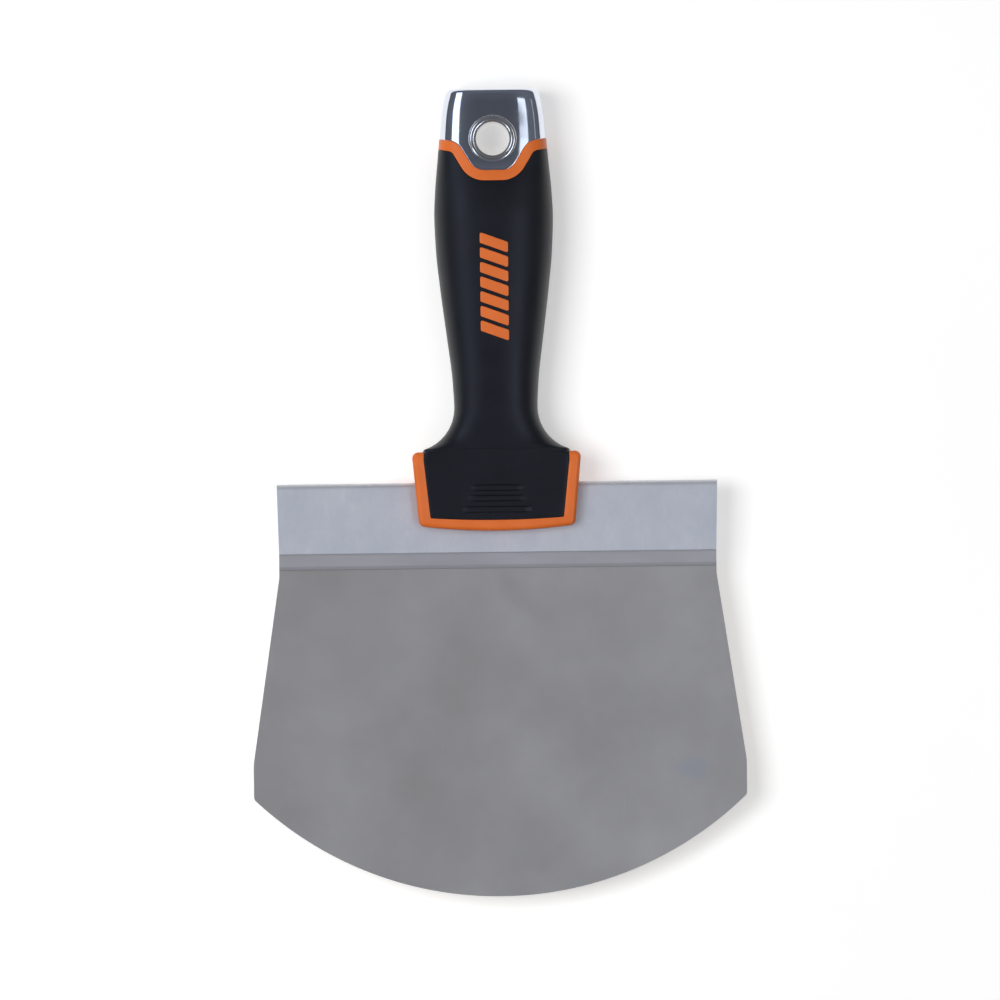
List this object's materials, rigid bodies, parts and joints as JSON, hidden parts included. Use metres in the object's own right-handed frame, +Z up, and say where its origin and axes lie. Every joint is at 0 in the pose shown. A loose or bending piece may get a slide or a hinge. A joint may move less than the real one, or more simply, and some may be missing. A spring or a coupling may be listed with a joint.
{
  "type": "flexible putty knife",
  "caption": "Wide flexible putty knife with a flared round-edged steel blade in an aluminium holder, a soft-grip handle and a metal end cap with a hanging hole.",
  "frame": {"origin": "under the middle of the knife, halfway between the blade's tip and the end cap, on the surface that it lies on", "axes": "+X to the right seen from the front, +Y from the blade towards the end cap, +Z up out of the front face, square to the blade"},
  "size_m": [0.15, 0.2454, 0.025],
  "materials": {
    "spring_steel": "fine-ground, slightly cloudy",
    "leaf_steel": "ground along its length",
    "holder_aluminium": "matt extruded, finely scuffed",
    "rivet_aluminium": "plain",
    "tang_steel": "mill",
    "orange_plastic": "moulded satin",
    "black_rubber": "satin soft skin",
    "cap_chrome": "polished",
    "eyelet_chrome": "polished nickel"
  },
  "bodies": {
    "handle": {"stiffener_leaf": "leaf_steel", "blade_holder": "holder_aluminium", "blade_rivets": "rivet_aluminium", "tang_rivets": "rivet_aluminium", "tang": "tang_steel", "collar": "orange_plastic", "handle_core": "orange_plastic", "grip": "black_rubber", "end_cap": "cap_chrome", "eyelet": "eyelet_chrome"},
    "blade": {"blade": "spring_steel"}
  },
  "joints": [
    {"name": "blade_flex", "type": "hinge", "parent": "handle", "child": "blade", "pos_m": [0, -0.03785, 0.0122], "axis": [-1, 0, 0], "range_deg": [-7, 28], "stiffness_Nm_per_rad": 3.4, "deforming": ["blade"]}
  ]
}
